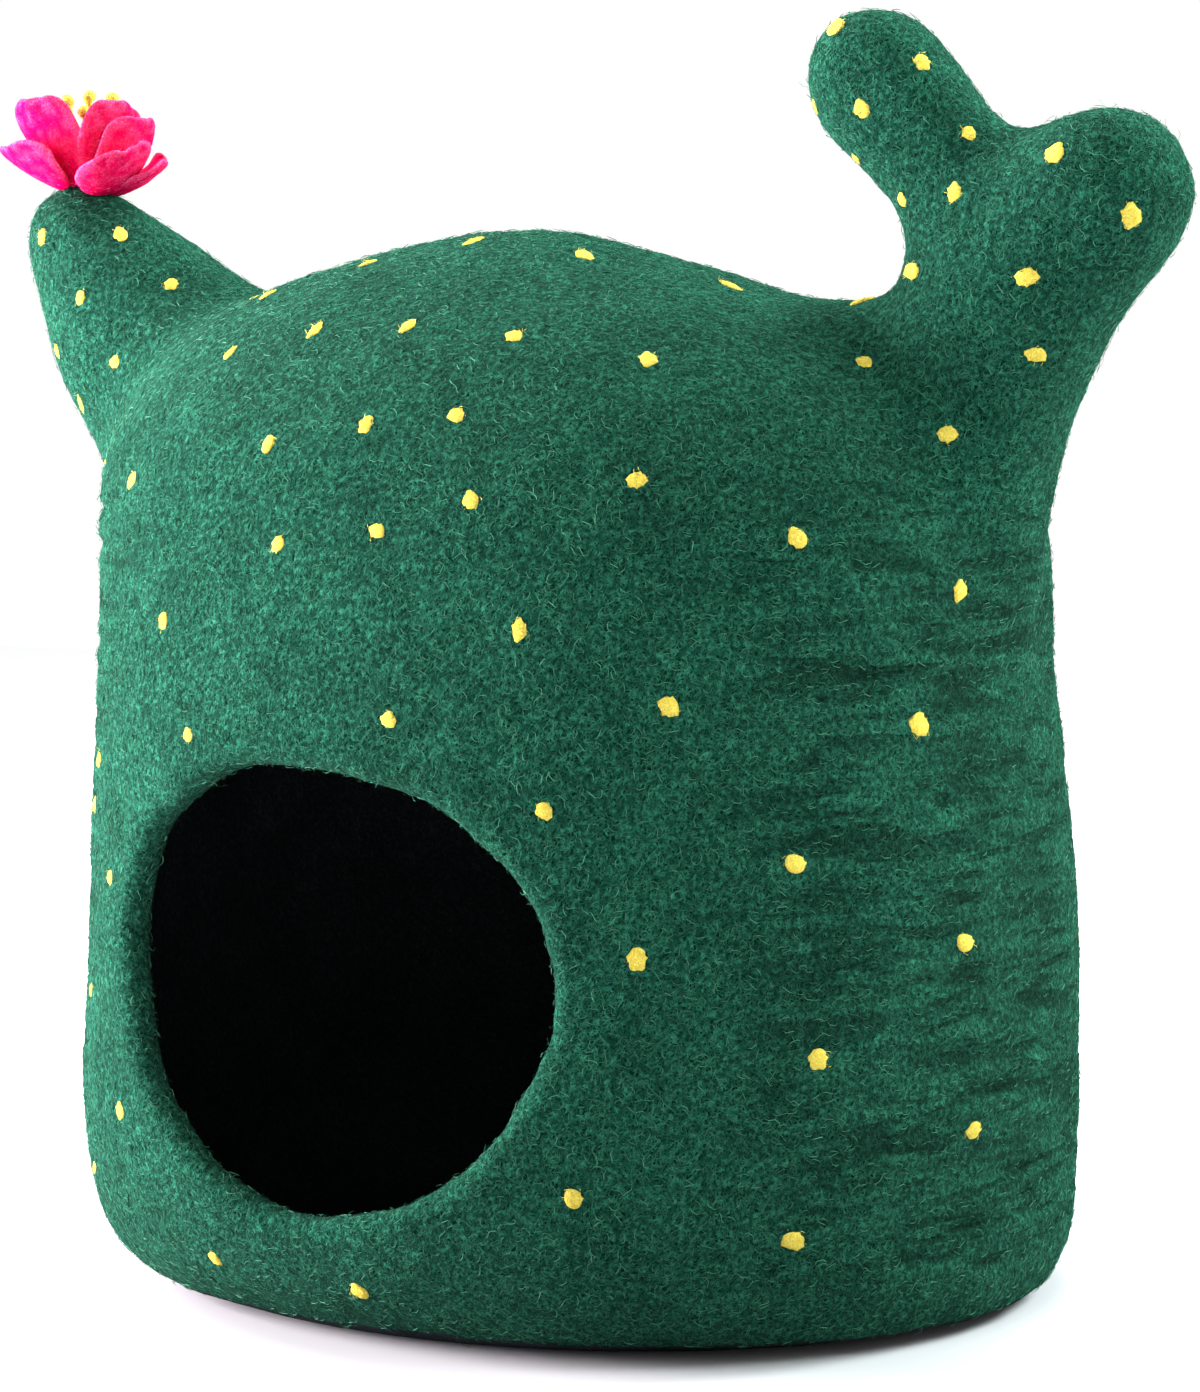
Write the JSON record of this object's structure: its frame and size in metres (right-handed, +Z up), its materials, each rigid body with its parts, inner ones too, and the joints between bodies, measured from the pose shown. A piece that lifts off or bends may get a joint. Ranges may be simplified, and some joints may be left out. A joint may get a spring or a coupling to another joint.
{
  "type": "felt cat cave",
  "caption": "Hollow wool-felt pet cave shaped like a cactus, with a round front entrance, a short arm that carries a felt flower, and a forked arm.",
  "frame": {"origin": "on the flat underside, under the middle of the body", "axes": "+Z up, front with the entrance towards -Y, flower arm towards -X, forked arm towards +X"},
  "size_m": [0.547, 0.3852, 0.517],
  "materials": {
    "green_felt": "matt wool felt, fibrous",
    "pink_felt": "matt wool felt, hot pink",
    "yellow_felt": "matt wool felt, yellow"
  },
  "bodies": {
    "root": {"felt_shell": "green_felt", "petal_outer_1": "pink_felt", "petal_outer_2": "pink_felt", "petal_outer_3": "pink_felt", "petal_outer_4": "pink_felt", "petal_outer_5": "pink_felt", "petal_inner_1": "pink_felt", "petal_inner_2": "pink_felt", "petal_inner_3": "pink_felt", "petal_inner_4": "pink_felt", "petal_inner_5": "pink_felt", "stamen_1": "yellow_felt", "stamen_2": "yellow_felt", "stamen_3": "yellow_felt", "stamen_4": "yellow_felt"}
  },
  "joints": []
}
